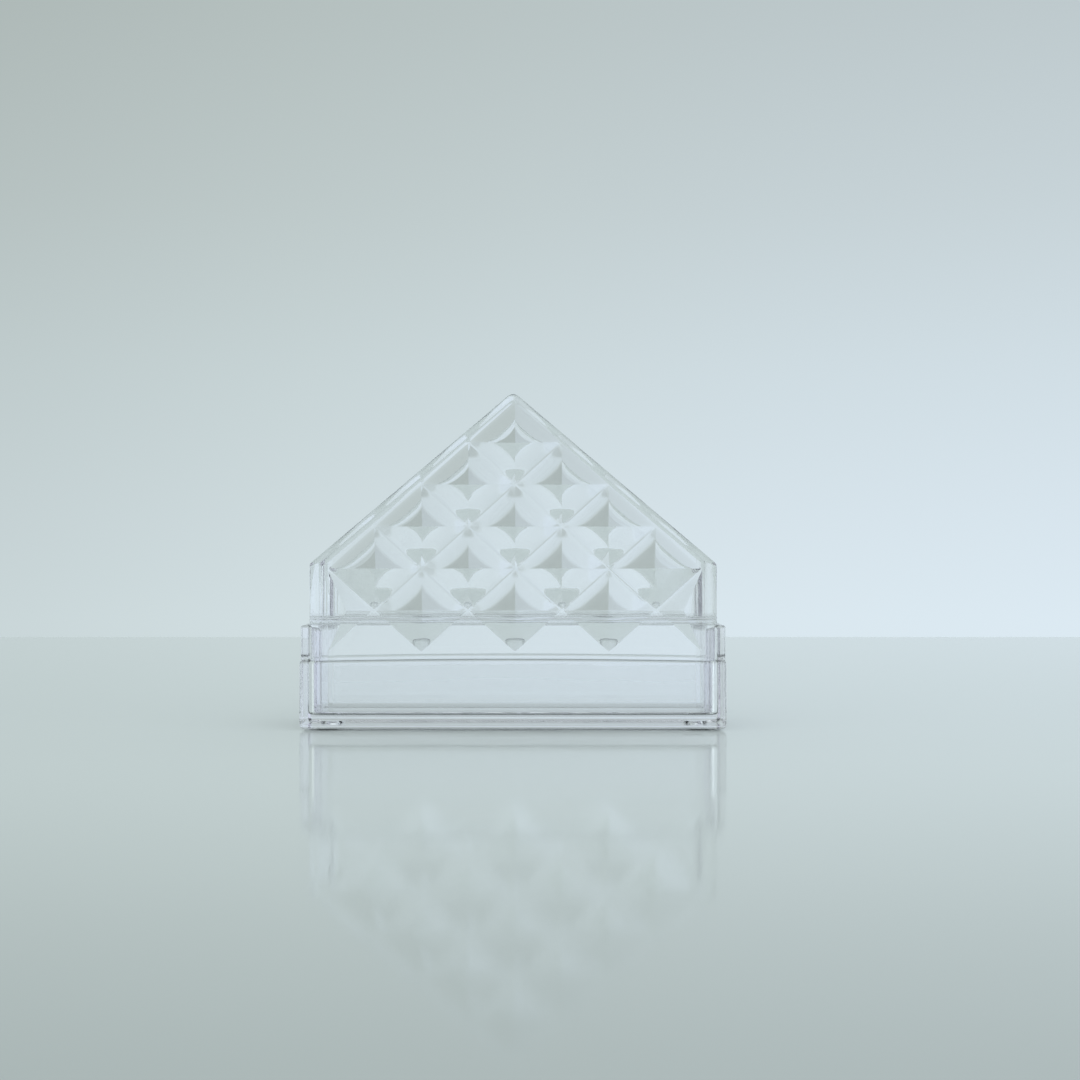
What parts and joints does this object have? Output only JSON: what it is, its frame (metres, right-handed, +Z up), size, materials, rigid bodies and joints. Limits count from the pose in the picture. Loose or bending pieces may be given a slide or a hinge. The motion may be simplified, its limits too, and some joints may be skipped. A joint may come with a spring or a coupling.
{
  "type": "faceted clear slot holder",
  "caption": "Clear gabled slot holder: two faceted panels on a raised slot floor, standing in a low clear tray on small feet.",
  "frame": {"origin": "middle of the underside, on the surface that the feet stand on", "axes": "+X along the long side to the right, +Y from the front to the back, +Z up"},
  "size_m": [0.15, 0.0406, 0.1185],
  "materials": {
    "clear_tray": "water-clear, polished, softly rounded edges, faint cool tint where thick",
    "clear_facets": "water-clear, pressed diamond facets, polished",
    "clear_plain": "water-clear, plain and polished",
    "clear_foot": "clear soft bumper, slightly frosted"
  },
  "bodies": {
    "tray": {"base_tray": "clear_tray", "foot_front_left": "clear_foot", "foot_front_right": "clear_foot", "foot_back_left": "clear_foot", "foot_back_right": "clear_foot"},
    "holder": {"front_panel": "clear_facets", "back_panel": "clear_facets", "left_end_wall": "clear_plain", "right_end_wall": "clear_plain", "slot_floor": "clear_plain"}
  },
  "joints": [
    {"name": "holder_lift", "type": "slide", "parent": "tray", "child": "holder", "axis": [0, 0, 1], "range_m": [0, 0.035]}
  ]
}
